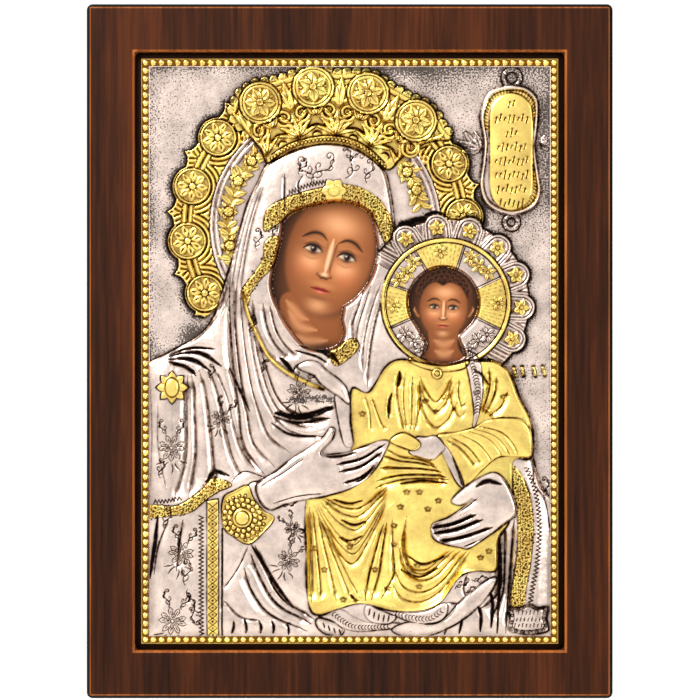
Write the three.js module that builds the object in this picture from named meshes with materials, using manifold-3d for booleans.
// A devotional icon panel, made to hang on a wall: a wooden board with a recess, a painted panel in the
// recess, and over the painting one sheet of embossed silver, gilded in parts, with a window for each of
// the two painted faces.
//
// Millimetres. +X is to the viewer's right and +Z is up. The front faces -Y, and the board's back lies in
// the wall plane y = 0, with the origin at the centre of that back.

import * as THREE from 'three';
import { mergeVertices } from 'three/addons/utils/BufferGeometryUtils.js';
import Module from 'manifold-3d';

const wasm = await Module();
wasm.setup();

// Driving dimensions

const COVER = { width: 198.8, height: 278.8, sheet: 0.8 };
const COVER_MARGIN = 2.9;
const RAIL_WIDTH = 22.7;
const BOARD = { depth: 18, cornerRadius: 2, frontChamfer: 1.5, backChamfer: 0.5 };
const RECESS = { depth: 5, cornerRadius: 3.3, edgeChamfer: 0.9 };
const PANEL = { thickness: 1.6, cornerRadius: 3 };
const CLEARANCE = 0.3;
const CORNER_STEPS = 5;

// The embossed sheet: the size its outlines are drawn at, and how closely its surface is worked out

const DRAWN = { width: 198.8, height: 278.8 };
const SAMPLE_PITCH = 0.5;
const SURFACE_TRIANGLES = 8200;
const CURVE_STEP = 2.5;

// Heights of the embossed forms above the sheet's back

const LIFT = {
  halo: 1.4,
  haloBand: 2,
  rosette: 2.3,
  crown: 2.7,
  plate: 1.5,
  shell: 2.2,
  mantle: 2.2,
  trim: 0.5,
  childHalo: 3.2,
  robe: 4,
  hand: 4.9,
};

const BORDER = { width: 4.4, flat: 0.5, height: 1.5, settle: 7 };

const MOTHER_HALO = {
  center: [-11.6, 59.9],
  disc: 55.4,
  rims: [54.3, 51.9],
  ring: 65.7,
  first: 209.5,
  step: -22.9,
  count: 10,
  rosette: 8.8,
  lobe: 10,
  cusp: 76.5,
};

const CHILD_HALO = {
  center: [45.7, 22.9],
  disc: 31,
  ring: 30,
  boss: 36.2,
  first: 121.9,
  step: -25.05,
  count: 7,
  bossRadius: 4.2,
  scallop: 7.2,
  shell: 40.6,
  arms: [[72, 121], [162, 204], [-26, 25]],
  armInner: 17.5,
};

// Curves. An outline is closed, a stroke is open, and both run smoothly through their points.

function polar([x, z], radius, degrees) {
  const angle = THREE.MathUtils.degToRad(degrees);
  return [x + radius * Math.cos(angle), z + radius * Math.sin(angle)];
}

function arc(center, radius, from, to, steps) {
  return Array.from({ length: steps + 1 }, (_, k) => polar(center, radius, from + (to - from) * k / steps));
}

function smooth(points, closed) {
  const curve = new THREE.CatmullRomCurve3(points.map(([x, z]) => new THREE.Vector3(x, 0, z)), closed, 'centripetal');
  const steps = Math.max(4, Math.round(curve.getLength() / CURVE_STEP));
  return curve.getSpacedPoints(steps).map((point) => [point.x, point.z]);
}

const outline = (points) => smooth(points, true);
const stroke = (points) => smooth(points, false);

// A family of strokes between a first and a last one, evenly spread.
function family(first, last, count) {
  const from = new THREE.SplineCurve(first.map(([x, z]) => new THREE.Vector2(x, z)));
  const to = new THREE.SplineCurve(last.map(([x, z]) => new THREE.Vector2(x, z)));
  const stations = 6;
  return Array.from({ length: count }, (_, k) => {
    const share = k / (count - 1);
    return stroke(Array.from({ length: stations }, (__, s) => {
      const start = from.getPoint(s / (stations - 1));
      return start.lerp(to.getPoint(s / (stations - 1)), share).toArray();
    }));
  });
}

// An oval leaning to the viewer's right, from one angle to another.
function leaningOval(center, halfWidth, halfHeight, lean, from, to, steps) {
  const tilt = THREE.MathUtils.degToRad(lean);
  return Array.from({ length: steps + 1 }, (_, k) => {
    const angle = THREE.MathUtils.degToRad(from + (to - from) * k / steps);
    const across = halfWidth * Math.cos(angle);
    const up = halfHeight * Math.sin(angle);
    return [
      center[0] + across * Math.cos(tilt) + up * Math.sin(tilt),
      center[1] - across * Math.sin(tilt) + up * Math.cos(tilt),
    ];
  });
}

// Outlines of the embossed forms, in millimetres of the drawn sheet from its centre

const MOTHER = outline([
  [-38, 90], [-44, 80], [-49, 69], [-53, 55], [-57, 40], [-61, 27], [-65, 16], [-72, 7.5], [-83, 1],
  [-97, -6], [-112, -14], [-112, -80], [-112, -152], [0, -152], [112, -152], [112, -78], [95, -69],
  [88, -54], [84, -30], [60, -5], [30, 20], [24, 42], [21.5, 60], [19.5, 75], [16, 87], [6, 95], [-6, 99],
  [-20, 98],
]);
const CROWN = outline([
  [-38.7, 89.3], [-42, 95], [-47.5, 102], [-54, 109], [-56, 114], [-53, 122], [-45, 127.5], [-38, 128.5],
  [-29, 131], [-22, 134], [-13, 134.3], [-5, 132.5], [4, 133], [13, 131], [20, 126], [29, 121], [37, 117.5],
  [42, 112], [45, 106.5], [49, 101], [42, 100], [35, 98.3], [26, 93], [18, 86.2], [9, 94], [0, 98.8],
  [-10, 100.5], [-20, 99], [-30, 95],
]);
const CROWN_BAND = [[-37, 91.5], [-29, 96.5], [-19, 99.6], [-9, 100.6], [1, 98.8], [9.5, 94.2], [16.6, 87.6]];

const MOTHER_WINDOW = [
  ...stroke([[-31.3, 61.5], [-27, 65.7], [-17.6, 68.9], [-6, 70.6], [4, 69], [10.5, 64.5]]),
  ...leaningOval([-10, 46], 22.5, 27, 17, 36, -52, 14),
  ...stroke([[-4.2, 15], [-3, 8.5], [-6, 3], [-13, 0.8], [-20, 1.8], [-27, 9], [-33.2, 19], [-36.8, 31],
    [-35, 42], [-32.7, 51]]),
];
const CHILD_WINDOW = [
  ...arc([44.5, 23.3], 16.8, -38, 218, 32),
  [36.9, 3.4],
  ...stroke([[34.4, -2.6], [39, -5.2], [46, -5.9], [52, -4.6], [55, -2.6]]),
  [51.6, 7],
];

const CHILD_ROBE = outline([
  [24, -4], [17, -7.5], [9, -19.5], [1.2, -17.8], [0.6, -32], [1, -46], [-8, -60], [-20, -69],
  [-20.6, -95], [-19.6, -119], [-15, -125], [-5, -122], [6, -119.6], [20, -123], [33, -123], [43, -119],
  [52, -107], [60, -104.2], [70, -103.5], [71, -90], [77, -77], [77, -60], [78, -51.5], [86.5, -50.5],
  [87.3, -40], [85.5, -31], [81, -22], [77.5, -12.5], [74.5, -7.5], [67, -4], [56, -4.5], [45, -7],
  [34, -5.5],
]);
const CHILD_FOREARM = outline([
  [-25, -7.2], [-20, -4.4], [-15, -5.2], [-10.8, -9], [-4.3, -14], [-1.3, -18], [-0.2, -25], [-5, -21.6],
  [-9.2, -19], [-14, -15.2], [-17, -11.6], [-22, -9.4],
]);
const CHILD_CUFF = outline([[-7, -21], [-3, -21.5], [0, -23.5], [0.2, -34], [1.6, -44], [-2.4, -44.5], [-5.4, -33]]);
const CHILD_HAND = outline([
  [31, -41], [36, -40.6], [41, -40.2], [45, -45.5], [42, -49.5], [38.5, -51.8], [33, -50.5], [28, -47.5],
]);
const SCROLL = outline([[19, -42.4], [25.6, -38.6], [33.4, -43.4], [31, -47], [25, -45.6]]);
const SLEEVE_HEM = outline([[41, -39.8], [47, -47], [51.5, -56], [54.3, -64.8], [50.5, -62], [45.6, -52], [43, -46]]);
const LEFT_SLEEVE = outline([
  [41.5, -40], [50, -38.4], [59, -36], [65, -32.6], [74, -31.6], [83, -33], [87, -41], [86.4, -50.2],
  [78, -50], [70, -50.4], [62, -57], [54.5, -64], [51, -56], [47, -47],
]);

const LEFT_FOOT = outline([[-15, -126.5], [-15.8, -130], [-12, -134], [-5, -135.4], [-2.6, -131.6], [-8, -128.4]]);
const LEFT_HEM = outline([[-15, -125.2], [-9.6, -122.6], [-3, -122.8], [2, -126], [9, -128.6], [20, -128.8],
  [24.6, -129.4], [21, -131.4], [13, -132.4], [4, -133], [-3, -131.4], [-8, -128]]);
const RIGHT_FOOT = outline([[8, -120.4], [6.8, -124], [10, -128.2], [18.4, -129.2], [22, -125.6], [17, -122], [12, -120.4]]);
const RIGHT_HEM = outline([[9, -119.8], [17, -121.4], [25, -123.6], [36, -123.2], [45, -119.2], [46.4, -123],
  [43.8, -127.2], [38, -129], [29, -128.2], [21, -125.2]]);
const LOW_SWAG = outline([[20, -132.4], [27, -128.6], [37, -129.6], [44, -127.4], [54, -117], [65, -108.4],
  [70, -108], [66, -116], [54, -127], [40, -134.4], [28, -136]]);

const RIGHT_HAND = outline([
  [-44, -63], [-35, -57], [-27, -50.6], [-19, -45.6], [-13, -41], [-9.4, -36.4], [-7, -37.2], [-8.4, -42],
  [-13, -48.4], [-2, -48], [7, -45], [14, -42.4], [18.6, -42.8], [16.6, -48], [12.6, -55], [7, -61],
  [-1, -65.6], [-12, -68.8], [-22, -70.6], [-31, -72.8], [-37.6, -75.2], [-42.6, -71],
]);
const LEFT_HAND = outline([
  [48, -71], [53, -65.4], [60, -60.6], [68, -57.4], [73.6, -61], [77.8, -69], [79, -77], [72, -83],
  [64, -88.6], [56.4, -93.4], [52.8, -93], [45, -91.4], [39.6, -88.4], [39, -82], [46.6, -78.8],
  [54, -73.6], [57.6, -70.6], [52.4, -73],
]);

const CUFF = outline([[-60, -70], [-54.5, -66], [-48.4, -63.6], [-45.6, -69.6], [-41, -75.4], [-35.8, -79.2],
  [-42, -87], [-48, -91.4], [-54.4, -88.4], [-60, -83]]);
const SLEEVE_EDGE = outline([[-104, -74], [-92, -73], [-83, -73.4], [-76, -70], [-69.6, -65], [-65.6, -60.6],
  [-61, -60.4], [-56, -63.6], [-62, -66.4], [-68, -70.4], [-75, -76], [-84, -78], [-104, -79.6]]);
const LEFT_BAND = [[-67.6, -71], [-62.3, -70], [-62.3, -137], [-67.6, -137]];
const RIGHT_BAND = outline([[71.5, -50.8], [77, -53], [82, -60], [84.6, -72], [84.4, -90], [83.2, -106],
  [81, -122], [76.4, -122], [78.4, -106], [79.6, -90], [79.6, -72], [77.8, -62], [74.6, -56]]);
const FOREHEAD_TRIM = outline([[-38.5, 60], [-40, 66.4], [-33.6, 70.6], [-24, 74], [-14, 76.6], [-4, 78.4],
  [6, 76.6], [14, 71.6], [20, 63], [22, 52], [20.4, 38], [17.4, 50], [14.4, 60], [10, 66.4], [3, 70.4],
  [-6, 72], [-18, 70.4], [-28, 67], [-34, 62.4]]);
const NECK_TRIM = outline([[-33.6, 54], [-40, 52], [-41, 44], [-45.4, 37], [-51.6, 28], [-50, 18], [-45.6, 7.4],
  [-40, -2.4], [-31, -10], [-19, -15.8], [-13.6, -17.6], [-20, -14.4], [-29.4, -9], [-37, -1], [-42, 8.4],
  [-47, 19], [-48, 27.4], [-42, 34.4], [-36, 41]]);

const PLATE_RIM = outline([[65, 121.6], [70, 125.4], [77, 126.4], [84.4, 125.2], [89.4, 119.6], [89.6, 109],
  [88.4, 97], [90, 84], [91, 75], [88, 68.4], [80, 64.8], [72.6, 65.2], [64.8, 69.6], [61.6, 78], [63, 90],
  [63.6, 100], [62, 112]]);
const PLATE = outline([[66.6, 112], [69.4, 119.4], [76.8, 123], [84.4, 119.4], [87.2, 112], [87.2, 94],
  [87.2, 78], [84.4, 70.4], [76.8, 66.8], [69.4, 70.4], [66.6, 78], [66.6, 94]]);
const STAMP = outline([[75.6, -121.6], [80, -121.8], [84.8, -119.6], [89.6, -121.8], [94, -121.6], [93.4, -127],
  [94, -132.6], [84.8, -134.4], [75.6, -132.6], [76.2, -127]]);

// Folds of the drapery, each family from its first stroke to its last

const MANTLE_FOLDS = [
  { strokes: family([[-57, 38], [-57, 15], [-55, -10], [-52.5, -30], [-50, -47], [-40, -59]],
    [[-44, 6], [-41, -4], [-37, -16], [-31, -27], [-20, -32], [-9, -32]], 6), depth: 1.5, width: 1.9 },
  { strokes: family([[-41, 78], [-46, 62], [-50, 42], [-52, 26]],
    [[-46, 77], [-51, 62], [-56, 44], [-60, 24], [-67, 10]], 2), depth: 1.1, width: 1.7 },
  { strokes: family([[-66, -6], [-59, -19], [-56, -32], [-51, -47], [-43, -58]],
    [[-77, -12], [-77.5, -32], [-77.5, -48], [-80, -60], [-84, -72]], 4), depth: 1.4, width: 2.2 },
  { strokes: family([[-64, 1], [-75, 1.5], [-86, -1.5]], [[-73, -10.5], [-79, -7], [-86, -5]], 3),
    depth: 1.3, width: 1.4 },
  { strokes: family([[7, 31], [4.5, 22], [1.5, 13], [2, 4]], [[19, 33], [14, 20], [11, 8], [9, -6], [8.5, -18]], 4),
    depth: 1.1, width: 1.5 },
  { strokes: family([[-38, 22], [-35, 10], [-30, 2], [-24, -3]], [[-46, 24], [-45, 12], [-41, 2], [-34, -5]], 2),
    depth: 1, width: 1.4 },
  { strokes: family([[-22, 84], [-24.5, 78], [-21, 69.5]], [[-31, 84], [-31, 74], [-31, 64]], 2),
    depth: 1, width: 1.1 },
  { strokes: family([[-35.2, -29], [-23, -30.4], [-8, -26]], [[-37, -34], [-28, -39.6], [-13, -40.4]], 2),
    depth: 1.6, width: 1.4 },
  { strokes: family([[-45, -92], [-39, -106], [-32, -118], [-17, -127]],
    [[-50, -103], [-47, -113], [-38, -125], [-20, -133]], 3), depth: 1.4, width: 1.9 },
  { strokes: family([[-60, -113], [-53, -103], [-48, -92]], [[-60, -118], [-52, -126], [-42, -128]], 2),
    depth: 1.2, width: 1.4 },
  { strokes: family([[-86, -80], [-91, -93], [-93, -106]], [[-79, -80], [-81, -92], [-82, -104]], 2),
    depth: 1.2, width: 1.8 },
  { strokes: family([[71, -84], [72, -100], [71, -115], [62, -122]], [[78, -80], [76.5, -100], [75, -120], [74, -134]], 3),
    depth: 1.4, width: 1.6 },
  { strokes: family([[56, -105], [54, -113], [58, -118], [65, -109]], [[46, -119], [56, -120], [64, -114], [69, -109]], 2),
    depth: 1.1, width: 1.3 },
];

const ROBE_FOLDS = [
  { strokes: family([[7.3, -21.4], [9.4, -28.7], [10, -38.4]], [[10.5, -22], [14.9, -34], [18, -37]], 2),
    depth: 1, width: 1.4 },
  { strokes: family([[20.3, -14], [19.1, -26.3], [19, -38]], [[33, -12], [33, -26], [37.5, -38]], 4),
    depth: 1.2, width: 1.5 },
  { strokes: family([[33, -11], [40.9, -22.6], [48, -11]], [[37, -27], [41.5, -34], [47, -28]], 2),
    depth: 0.9, width: 1.3 },
  { strokes: family([[48, -13], [47.5, -22], [51.8, -31], [54.8, -28]], [[52, -13], [51.5, -20], [53, -26], [55, -24]], 2),
    depth: 1.1, width: 1.4 },
  { strokes: family([[66, -8], [66.5, -17], [63, -29]], [[75, -19], [72, -26], [66, -31]], 3), depth: 1.1, width: 1.4 },
  { strokes: family([[17, -46], [24, -50], [33, -51.5], [40, -54]], [[12, -65], [22, -61.5], [33, -60.5], [47, -61]], 4),
    depth: 1.3, width: 1.3 },
  { strokes: family([[-12, -69.5], [-6, -73], [2, -75], [9, -72], [18, -64]],
    [[-16, -75], [-9, -91], [1, -101], [9, -90], [17, -73]], 5), depth: 1.3, width: 1.6 },
  { strokes: family([[-16, -78], [-8, -94], [0, -107], [5, -117]], [[-19, -78], [-18, -95], [-17.6, -110], [-18, -119]], 4),
    depth: 1.3, width: 1.8 },
  { strokes: family([[16, -82], [12, -96], [9, -107], [7.5, -118]], [[20, -80], [20.5, -95], [21, -106], [15, -117]], 2),
    depth: 1.4, width: 1.8 },
  { strokes: family([[27, -78], [25.5, -92], [28, -103], [36, -104], [48, -94]],
    [[20, -110], [26, -118], [36, -118.5], [46, -111], [57, -95]], 4), depth: 1.3, width: 1.8 },
];

const SLEEVE_FOLDS = [
  { strokes: family([[46, -42], [53, -46.5], [60, -55]], [[61, -35.5], [72, -38.5], [78, -45], [80, -50]], 4),
    depth: 0.9, width: 1.5 },
];

const FINGER_FOLDS = [
  { strokes: family([[-6, -53.6], [6, -50.8], [16.6, -44]], [[-3, -62.4], [5, -60], [13, -54]], 3),
    depth: 1.3, width: 0.9 },
  { strokes: [stroke([[-35, -68], [-27, -63], [-14, -59.4]])], depth: 0.7, width: 2.2 },
];

const KNUCKLE_FOLDS = [
  { strokes: family([[40.6, -84.6], [49, -82.4], [58, -77]], [[44, -90.8], [56, -87.6], [66, -83.6]], 3),
    depth: 1.3, width: 0.9 },
  { strokes: [stroke([[59, -73.6], [66, -70.4], [75, -69.4]])], depth: 0.7, width: 2.2 },
];

// The sheet's surface, sampled on a grid of columns along X and rows along Z

const ease = (t) => {
  const s = THREE.MathUtils.clamp(t, 0, 1);
  return s * s * (3 - 2 * s);
};

class Relief {
  constructor(width, height, drawn, pitch, ground) {
    this.width = width;
    this.height = height;
    this.columns = Math.round(width / pitch) + 1;
    this.rows = Math.round(height / pitch) + 1;
    this.pitchX = drawn.width / (this.columns - 1);
    this.pitchZ = drawn.height / (this.rows - 1);
    this.left = -drawn.width / 2;
    this.bottom = -drawn.height / 2;
    this.heights = new Float32Array(this.columns * this.rows).fill(ground);
    this.form = new Float32Array(this.columns * this.rows);
  }

  // Columns and rows that hold every sample within reach of some points.
  box(points, reach) {
    const xs = points.map((point) => point[0]);
    const zs = points.map((point) => point[1]);
    const column = (x) => THREE.MathUtils.clamp(Math.round((x - this.left) / this.pitchX), 0, this.columns - 1);
    const row = (z) => THREE.MathUtils.clamp(Math.round((z - this.bottom) / this.pitchZ), 0, this.rows - 1);
    return [column(Math.min(...xs) - reach), column(Math.max(...xs) + reach),
      row(Math.min(...zs) - reach), row(Math.max(...zs) + reach)];
  }

  each([from, to, low, high], visit) {
    for (let row = low; row <= high; row += 1) {
      for (let column = from; column <= to; column += 1) {
        visit(row * this.columns + column, this.left + column * this.pitchX, this.bottom + row * this.pitchZ);
      }
    }
  }

  // Distance from each sample to a polyline, and the share of the polyline's length passed there.
  measure(points, reach) {
    const distance = new Map();
    const along = new Map();
    points.slice(1).forEach((end, k) => {
      const start = points[k];
      const run = [end[0] - start[0], end[1] - start[1]];
      const square = run[0] ** 2 + run[1] ** 2 || 1;
      this.each(this.box([start, end], reach), (index, x, z) => {
        const t = THREE.MathUtils.clamp(((x - start[0]) * run[0] + (z - start[1]) * run[1]) / square, 0, 1);
        const gap = Math.hypot(x - start[0] - t * run[0], z - start[1] - t * run[1]);
        if (gap < (distance.get(index) ?? reach)) {
          distance.set(index, gap);
          along.set(index, (k + t) / (points.length - 1));
        }
      });
    });
    return { distance, along };
  }

  // Visits the samples inside a closed outline, row by row, between pairs of crossings.
  inside(points, visit) {
    const [, , low, high] = this.box(points, 0);
    for (let row = low; row <= high; row += 1) {
      const z = this.bottom + row * this.pitchZ;
      const crossings = [];
      points.forEach((start, k) => {
        const end = points[(k + 1) % points.length];
        if ((start[1] > z) !== (end[1] > z)) {
          crossings.push(start[0] + (z - start[1]) * (end[0] - start[0]) / (end[1] - start[1]));
        }
      });
      crossings.sort((a, b) => a - b);
      for (let pair = 0; pair + 1 < crossings.length; pair += 2) {
        const from = Math.max(0, Math.ceil((crossings[pair] - this.left) / this.pitchX));
        const to = Math.min(this.columns - 1, Math.floor((crossings[pair + 1] - this.left) / this.pitchX));
        for (let column = from; column <= to; column += 1) visit(row * this.columns + column);
      }
    }
  }

  // Raises the inside of an outline to a level, with a soft edge, crowned further in by `crown`.
  raise(points, { level, crown = 0, reach = 6, edge = 1.4, added = false }) {
    const { distance } = this.measure([...points, points[0]], Math.max(reach, edge));
    this.form.fill(0);
    this.inside(points, (index) => {
      const gap = distance.get(index) ?? Math.max(reach, edge);
      const share = ease(gap / edge);
      const round = crown * (1 - (1 - Math.min(gap / reach, 1)) ** 2);
      const base = this.heights[index];
      const top = added ? base + level + round : level + round;
      this.heights[index] = base + (top - base) * share;
      this.form[index] = share;
    });
  }

  // Presses strokes into the form raised last: sharp valleys between rounded folds.
  crease({ strokes, depth, width }) {
    strokes.forEach((points) => {
      const { distance, along } = this.measure(points, width * 4);
      distance.forEach((gap, index) => {
        const taper = ease(Math.min(along.get(index), 1 - along.get(index)) / 0.14);
        this.heights[index] -= this.form[index] * depth * taper * Math.exp(-gap / width);
      });
    });
  }

  // Reshapes the samples within a radius by a function of radius, angle in degrees and height.
  turn(center, radius, shape) {
    this.each(this.box([center], radius), (index, x, z) => {
      const r = Math.hypot(x - center[0], z - center[1]);
      if (r > radius) return;
      const angle = THREE.MathUtils.radToDeg(Math.atan2(z - center[1], x - center[0]));
      this.heights[index] = shape(r, angle, this.heights[index]);
    });
  }

  // A rosette: a low disc with a raised rim, petals round a boss.
  rosette(center, radius, level, petals) {
    this.turn(center, radius, (r, angle, height) => {
      const rim = Math.exp(-(((r - 0.88 * radius) / (0.09 * radius)) ** 2));
      const petal = Math.max(0, Math.sin(Math.PI * (r / radius - 0.2) / 0.56))
        * (0.5 + 0.5 * Math.cos(THREE.MathUtils.degToRad(angle * petals)));
      const boss = Math.max(0, 1 - (r / (0.2 * radius)) ** 2);
      const top = level + 0.5 * rim + 0.8 * petal * (r < 0.76 * radius ? 1 : 0) + 0.9 * boss;
      return height + (top - height) * ease((radius - r) / 0.9);
    });
  }

  // Turns the sheet down to the painting round a window.
  turnDown(points, level, reach) {
    const { distance } = this.measure([...points, points[0]], reach);
    distance.forEach((gap, index) => {
      const lowered = level + (this.heights[index] - level) * ease(gap / reach) ** 0.7;
      this.heights[index] = Math.min(this.heights[index], lowered);
    });
    this.inside(points, (index) => {
      this.heights[index] = level;
    });
  }

  // The edge: a round moulding all the way along, with the forms beside it settling down towards it.
  frame({ width, flat, height, settle }, ground) {
    const rest = ground + flat;
    this.each([0, this.columns - 1, 0, this.rows - 1], (index, x, z) => {
      const inset = Math.min(-this.left - Math.abs(x), -this.bottom - Math.abs(z));
      const across = (inset - width / 2) / (width / 2);
      if (inset < width) {
        this.heights[index] = rest + height * Math.sqrt(Math.max(0, 1 - across ** 2));
      } else if (this.heights[index] > rest) {
        this.heights[index] = rest + (this.heights[index] - rest) * (0.35 + 0.65 * ease((inset - width) / settle));
      }
    });
  }
}

function nearestStep(angle, { first, step, count }) {
  const turns = THREE.MathUtils.euclideanModulo(first - angle + 180 + step / 2, 360) - 180 - step / 2;
  return THREE.MathUtils.clamp(Math.round(turns / -step), 0, count - 1) * step + first;
}

function embossHalo(relief, halo) {
  const { center, disc, rims, ring, lobe, cusp } = halo;
  relief.turn(center, cusp + 1, (r, angle, height) => {
    const around = THREE.MathUtils.euclideanModulo(angle - halo.first, 360) - 360;
    const last = (halo.count - 1) * halo.step;
    const outside = around < last - 8 && around > -352;
    const offset = THREE.MathUtils.euclideanModulo(around, -halo.step) + halo.step / 2;
    const spread = Math.abs(offset);
    const tip = Math.min(cusp - 3.6 + 1.1 * spread, cusp - 2.1 * (spread - 3.3));
    const [x, z] = polar([0, 0], r, angle);
    const [a, b] = polar([0, 0], ring, nearestStep(angle, halo));
    const reach = Math.max(tip - r, lobe - Math.hypot(x - a, z - b));
    const rim = rims.reduce((sum, radius) => sum + 0.8 * Math.exp(-(((r - radius) / 0.8) ** 2)), 0);
    if (r < disc) return LIFT.halo + rim;
    const band = LIFT.haloBand + 0.3 * Math.cos((r - ring) * 1.1);
    return outside ? height : height + (band - height) * ease(reach / 1.2);
  });
  for (let k = 0; k < halo.count; k += 1) {
    relief.rosette(polar(center, ring, halo.first + k * halo.step), halo.rosette, LIFT.rosette, 8);
  }
}

function embossCrown(relief, halo) {
  relief.raise(CROWN, { level: LIFT.crown, crown: 0.7, reach: 5, edge: 1.2 });
  [118, 95, 72, 49].forEach((angle) => {
    relief.rosette(polar(halo.center, halo.ring, angle), halo.rosette, LIFT.crown + 0.5, 5);
    relief.rosette(polar(halo.center, halo.ring - 11, angle - 5.5), 3.6, LIFT.crown + 0.3, 4);
    relief.rosette(polar(halo.center, halo.ring - 11, angle + 5.5), 3.6, LIFT.crown + 0.3, 4);
  });
  relief.crease({ strokes: [stroke(CROWN_BAND.map(([x, z]) => [x, z + 1.6]))], depth: 0.9, width: 0.8 });
}

function embossShell(relief, halo) {
  const { center, disc, shell, boss, scallop } = halo;
  relief.turn(center, boss + scallop, (r, angle, height) => {
    const turned = polar([0, 0], r, angle);
    const nearest = polar([0, 0], boss, nearestStep(angle, halo));
    const gap = Math.hypot(turned[0] - nearest[0], turned[1] - nearest[1]);
    const inShell = Math.max(shell - r, scallop - 0.6 - gap);
    if (angle < -52 || angle > 150) return r < disc ? LIFT.childHalo : height;
    const flutes = 0.45 * Math.cos(THREE.MathUtils.degToRad((angle - halo.first) * 360 / (halo.step / 2.5)));
    const arch = 0.8 * Math.exp(-(((gap - scallop + 1.6) / 1.1) ** 2));
    const top = Math.max(height, LIFT.shell + arch + (gap > scallop ? flutes : 0));
    return height + (top - height) * ease(inShell / 1.2);
  });
  for (let k = 0; k < halo.count; k += 1) {
    relief.rosette(polar(center, boss, halo.first + k * halo.step), halo.bossRadius, LIFT.shell + 0.2, 5);
  }
}

function embossChildHalo(relief, halo) {
  relief.turn(halo.center, halo.disc, (r, angle) => {
    const rim = 0.7 * Math.exp(-(((r - halo.ring) / 0.8) ** 2));
    const onArm = halo.arms.some(([from, to]) => {
      const turned = THREE.MathUtils.euclideanModulo(angle - from, 360);
      return turned < to - from && r > halo.armInner && r < halo.ring - 1.6;
    });
    return LIFT.childHalo + rim + (onArm ? 0.45 : 0);
  });
}

function embossPlate(relief) {
  [[77.1, 130.1, 5.5], [76.9, 61.4, 4.8]].forEach(([x, z, radius]) => {
    relief.turn([x, z], radius, (r, _angle, height) => height + 0.9 * ease((radius - r) / 1) * ease((r - 1.8) / 1.6));
  });
  relief.raise(PLATE_RIM, { level: 1.9, edge: 1.6, crown: 0.4, reach: 3 });
  relief.raise(PLATE, { level: LIFT.plate, edge: 0.9 });
  for (let k = 0; k < 8; k += 1) {
    const z = 117 - 6.6 * k;
    const half = k === 0 || k === 7 ? 3.5 : 6;
    relief.crease({ strokes: [[[76.9 - half, z], [76.9 + half, z]]], depth: 0.35, width: 0.9 });
  }
}

function embossBrooch(relief, center, radius) {
  relief.turn(center, radius * 1.15, (r, angle, height) => {
    const point = Math.abs(THREE.MathUtils.euclideanModulo(angle + 22.5, 45) - 22.5) / 22.5;
    const star = radius * (1.1 - 0.32 * point);
    const boss = 1.3 * Math.max(0, 1 - (r / (0.5 * radius)) ** 2);
    return r < star ? height + 0.8 + boss : height;
  });
}

function embossSheet() {
  const relief = new Relief(COVER.width, COVER.height, DRAWN, SAMPLE_PITCH, COVER.sheet);
  embossHalo(relief, MOTHER_HALO);
  embossPlate(relief);
  relief.raise(MOTHER, { level: LIFT.mantle, crown: 2.2, reach: 15, edge: 2 });
  MANTLE_FOLDS.forEach((folds) => relief.crease(folds));
  [FOREHEAD_TRIM, NECK_TRIM, SLEEVE_EDGE, LEFT_BAND, RIGHT_BAND].forEach((points) => {
    relief.raise(points, { level: LIFT.trim, edge: 0.8, added: true });
  });
  relief.raise(STAMP, { level: 2.9, edge: 0.8 });
  embossBrooch(relief, [-84.2, -17.2], 7);
  embossCrown(relief, MOTHER_HALO);
  embossShell(relief, CHILD_HALO);
  embossChildHalo(relief, CHILD_HALO);

  relief.raise(LEFT_FOOT, { level: 3.6, crown: 0.9, reach: 4, edge: 1 });
  relief.raise(LEFT_HEM, { level: 4.1, crown: 0.5, reach: 3, edge: 1 });
  relief.raise(RIGHT_FOOT, { level: 4.2, crown: 0.9, reach: 4, edge: 1 });
  relief.raise(LOW_SWAG, { level: 3.8, crown: 0.9, reach: 4, edge: 1.2 });
  relief.raise(RIGHT_HEM, { level: 4.6, crown: 0.5, reach: 3, edge: 1 });
  relief.raise(CHILD_ROBE, { level: LIFT.robe, crown: 1.3, reach: 14, edge: 1.8 });
  ROBE_FOLDS.forEach((folds) => relief.crease(folds));
  relief.raise(LEFT_SLEEVE, { level: 0.7, crown: 0.5, edge: 1.6, added: true });
  SLEEVE_FOLDS.forEach((folds) => relief.crease(folds));
  relief.raise(SLEEVE_HEM, { level: 0.5, edge: 0.8, added: true });
  relief.raise(CHILD_CUFF, { level: 4.6, edge: 0.8 });
  relief.raise(CHILD_FOREARM, { level: 4.4, crown: 1.2, reach: 4, edge: 1.1 });
  relief.raise(CHILD_HAND, { level: 5.2, crown: 1, reach: 4, edge: 1.1 });
  relief.raise(SCROLL, { level: 5.4, crown: 0.8, reach: 3, edge: 0.9 });

  relief.raise(RIGHT_HAND, { level: LIFT.hand, crown: 1.7, reach: 8, edge: 1.4 });
  FINGER_FOLDS.forEach((folds) => relief.crease(folds));
  relief.raise(LEFT_HAND, { level: LIFT.hand + 0.2, crown: 1.5, reach: 8, edge: 1.4 });
  KNUCKLE_FOLDS.forEach((folds) => relief.crease(folds));
  relief.raise(CUFF, { level: LIFT.hand, crown: 1.2, reach: 8, edge: 1.2 });
  relief.rosette([-51.1, -79.7], 5.4, LIFT.hand + 1, 6);

  relief.turnDown(MOTHER_WINDOW, COVER.sheet, 4);
  relief.turnDown(CHILD_WINDOW, COVER.sheet, 2.6);
  relief.frame(BORDER, COVER.sheet);
  return relief;
}

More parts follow.
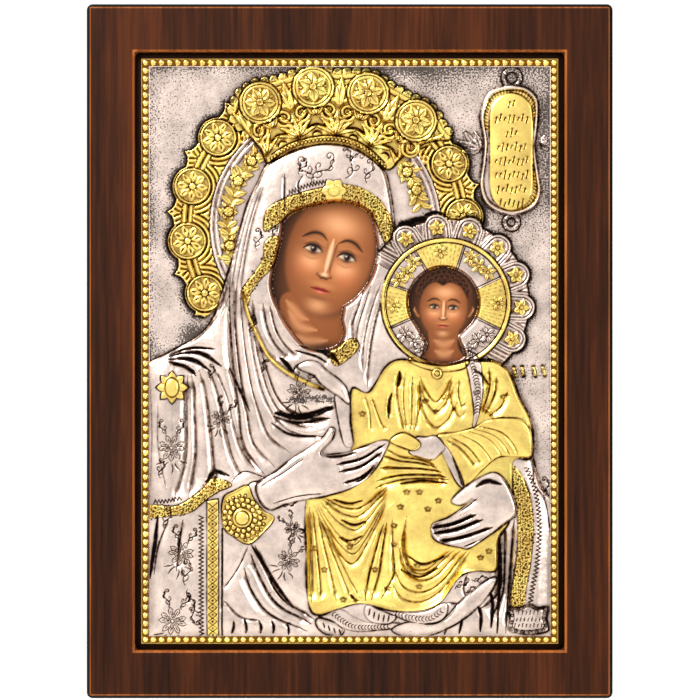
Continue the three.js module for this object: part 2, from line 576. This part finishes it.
// Fits triangles to the sampled surface: starts with two, and again and again adds the sample that the
// surface so far misses by most. Each new point takes the place of every triangle whose circumcircle
// holds it, which keeps the triangles well shaped.
function fitTriangles(relief, budget) {
  const { columns, rows, heights } = relief;
  const points = [[0, 0], [columns - 1, 0], [columns - 1, rows - 1], [0, rows - 1]];
  const side = (a, b, p) => (b[0] - a[0]) * (p[1] - a[1]) - (b[1] - a[1]) * (p[0] - a[0]);

  const circleHolds = ({ corners }, p) => {
    const [a, b, c] = corners.map((k) => [points[k][0] - p[0], points[k][1] - p[1]]);
    const square = (v) => v[0] ** 2 + v[1] ** 2;
    return square(a) * (b[0] * c[1] - b[1] * c[0]) - square(b) * (a[0] * c[1] - a[1] * c[0])
      + square(c) * (a[0] * b[1] - a[1] * b[0]) > 0;
  };

  // The sample inside a triangle that lies furthest from its plane.
  const triangle = (corners) => {
    const [a, b, c] = corners.map((k) => points[k]);
    const area = side(a, b, c);
    const [ha, hb, hc] = [a, b, c].map(([column, row]) => heights[row * columns + column]);
    let worst = 0;
    let at = null;
    const low = Math.min(a[1], b[1], c[1]);
    const high = Math.max(a[1], b[1], c[1]);
    const from = Math.min(a[0], b[0], c[0]);
    const to = Math.max(a[0], b[0], c[0]);
    for (let row = low; row <= high; row += 1) {
      for (let column = from; column <= to; column += 1) {
        const p = [column, row];
        const wa = side(b, c, p);
        const wb = side(c, a, p);
        const wc = side(a, b, p);
        if (wa < 0 || wb < 0 || wc < 0) continue;
        const miss = Math.abs((wa * ha + wb * hb + wc * hc) / area - heights[row * columns + column]);
        if (miss > worst) {
          worst = miss;
          at = p;
        }
      }
    }
    return { corners, worst, at };
  };

  let triangles = [triangle([0, 1, 2]), triangle([0, 2, 3])];
  while (triangles.length < budget) {
    const target = triangles.reduce((best, next) => (next.worst > best.worst ? next : best));
    if (!target.at) break;
    const added = target.at;
    const taken = new Set(triangles.filter((next) => circleHolds(next, added)));
    const edges = new Map();
    taken.forEach(({ corners: [a, b, c] }) => {
      [[a, b], [b, c], [c, a]].forEach(([start, end]) => {
        if (!edges.delete(`${end} ${start}`)) edges.set(`${start} ${end}`, [start, end]);
      });
    });
    points.push(added);
    const fan = [...edges.values()]
      .filter(([start, end]) => side(points[start], points[end], added) > 0)
      .map(([start, end]) => triangle([start, end, points.length - 1]));
    triangles = triangles.filter((next) => !taken.has(next)).concat(fan);
  }
  return { points, corners: triangles.map((next) => next.corners) };
}

// Closes a fitted surface with walls and a flat back at y = 0, front towards -Y.
function closedSheet(relief, budget) {
  const { points, corners } = fitTriangles(relief, budget);
  const { columns, rows, heights, width, height } = relief;
  const place = ([column, row], lift) => [
    (column / (columns - 1) - 0.5) * width, -lift, (row / (rows - 1) - 0.5) * height,
  ];
  const front = points.map((point) => place(point, heights[point[1] * columns + point[0]]));
  const onEdge = ([column, row]) => column === 0 || row === 0 || column === columns - 1 || row === rows - 1;
  const round = ([column, row]) => Math.atan2(row / (rows - 1) - 0.5, column / (columns - 1) - 0.5);
  const rim = points.map((_, k) => k).filter((k) => onEdge(points[k]));
  rim.sort((a, b) => round(points[a]) - round(points[b]));
  const positions = [...front, ...rim.map((k) => place(points[k], 0)), [0, 0, 0]];
  const middle = positions.length - 1;
  const faces = [...corners];
  rim.forEach((top, k) => {
    const next = (k + 1) % rim.length;
    const low = front.length + k;
    const nextLow = front.length + next;
    faces.push([top, low, nextLow], [top, nextLow, rim[next]], [low, middle, nextLow]);
  });
  return meshGeometry(positions, faces);
}

// Solids

function meshGeometry(positions, faces) {
  const geometry = new THREE.BufferGeometry();
  geometry.setAttribute('position', new THREE.Float32BufferAttribute(positions.flat(), 3));
  geometry.setIndex(faces.flat());
  return geometry;
}

function toManifold(geometry) {
  const plain = geometry.clone();
  plain.deleteAttribute('normal');
  plain.deleteAttribute('uv');
  const merged = mergeVertices(plain, 1e-4);
  return new wasm.Manifold(new wasm.Mesh({
    numProp: 3,
    vertProperties: new Float32Array(merged.attributes.position.array),
    triVerts: new Uint32Array(merged.index.array),
  }));
}

function toGeometry(solid) {
  const { vertProperties, triVerts } = solid.getMesh();
  const geometry = new THREE.BufferGeometry();
  geometry.setAttribute('position', new THREE.Float32BufferAttribute(vertProperties, 3));
  geometry.setIndex(new THREE.Uint32BufferAttribute(triVerts, 1));
  return geometry;
}

const cut = (whole, tool) => toGeometry(toManifold(whole).subtract(toManifold(tool)));

// A block through rounded rectangles, one above the other towards the front.
function roundedBlock(sections) {
  const rings = sections.map(({ y, width, height, radius }) => {
    const quarter = [[1, 1, 0], [-1, 1, 90], [-1, -1, 180], [1, -1, 270]];
    return quarter.flatMap(([sx, sz, from]) => {
      const corner = [sx * (width / 2 - radius), sz * (height / 2 - radius)];
      return arc(corner, radius, from, from + 90, CORNER_STEPS).map(([x, z]) => [x, y, z]);
    });
  });
  const count = rings[0].length;
  const positions = [...rings.flat(), [0, sections[0].y, 0], [0, sections.at(-1).y, 0]];
  const back = positions.length - 2;
  const front = positions.length - 1;
  const last = (rings.length - 1) * count;
  const faces = [];
  for (let k = 0; k < count; k += 1) {
    const next = (k + 1) % count;
    faces.push([back, next, k], [front, last + k, last + next]);
    for (let ring = 0; ring < last; ring += count) {
      faces.push([ring + k, ring + next, ring + count + next], [ring + k, ring + count + next, ring + count + k]);
    }
  }
  return meshGeometry(positions, faces);
}

// A prism through the sheet, for a window.
function windowTool(points, depth) {
  const sx = COVER.width / DRAWN.width;
  const sz = COVER.height / DRAWN.height;
  const shape = new THREE.Shape(points.map(([x, z]) => new THREE.Vector2(x * sx, z * sz)));
  const tool = new THREE.ExtrudeGeometry(shape, { depth: 2 * depth, bevelEnabled: false });
  tool.rotateX(Math.PI / 2);
  tool.translate(0, depth, 0);
  return tool;
}

const recessWidth = COVER.width + 2 * COVER_MARGIN;
const recessHeight = COVER.height + 2 * COVER_MARGIN;
const boardWidth = recessWidth + 2 * RAIL_WIDTH;
const boardHeight = recessHeight + 2 * RAIL_WIDTH;

function woodenBoard() {
  const { depth, cornerRadius: radius, frontChamfer, backChamfer } = BOARD;
  const section = (y, inset) => ({
    y, width: boardWidth - 2 * inset, height: boardHeight - 2 * inset, radius: radius + 0.5 * (frontChamfer - inset),
  });
  const blank = roundedBlock([
    section(0, backChamfer), section(-backChamfer, 0), section(frontChamfer - depth, 0), section(-depth, frontChamfer),
  ]);
  const hollow = (y, grow) => ({
    y, width: recessWidth + 2 * grow, height: recessHeight + 2 * grow, radius: RECESS.cornerRadius + grow,
  });
  const recess = roundedBlock([
    hollow(RECESS.depth - depth, 0), hollow(RECESS.edgeChamfer - depth, 0), hollow(-depth - RECESS.edgeChamfer,
      2 * RECESS.edgeChamfer),
  ]);
  return cut(blank, recess);
}

const panelBack = RECESS.depth - BOARD.depth - CLEARANCE;
const panelFront = panelBack - PANEL.thickness;
const coverBack = panelFront - CLEARANCE;

function paintedPanel() {
  const section = (y) => ({
    y, width: recessWidth - 2 * CLEARANCE, height: recessHeight - 2 * CLEARANCE, radius: PANEL.cornerRadius,
  });
  return roundedBlock([section(panelBack), section(panelFront)]);
}

function metalCover() {
  const sheet = closedSheet(embossSheet(), SURFACE_TRIANGLES);
  const deepest = 30;
  const opened = cut(cut(sheet, windowTool(MOTHER_WINDOW, deepest)), windowTool(CHILD_WINDOW, deepest));
  return opened.translate(0, coverBack, 0);
}

// The parts

function part(name, geometry, color, roughness, metalness) {
  const material = new THREE.MeshStandardMaterial({ color, roughness, metalness, flatShading: true });
  const mesh = new THREE.Mesh(geometry, material);
  mesh.name = name;
  return mesh;
}

const icon = new THREE.Group();
icon.add(
  part('wooden_board', woodenBoard(), 0x4e2c19, 0.45, 0),
  part('painted_panel', paintedPanel(), 0x5a3a26, 0.5, 0),
  part('metal_cover', metalCover(), 0xd8cfc6, 0.35, 1),
);

export default icon;
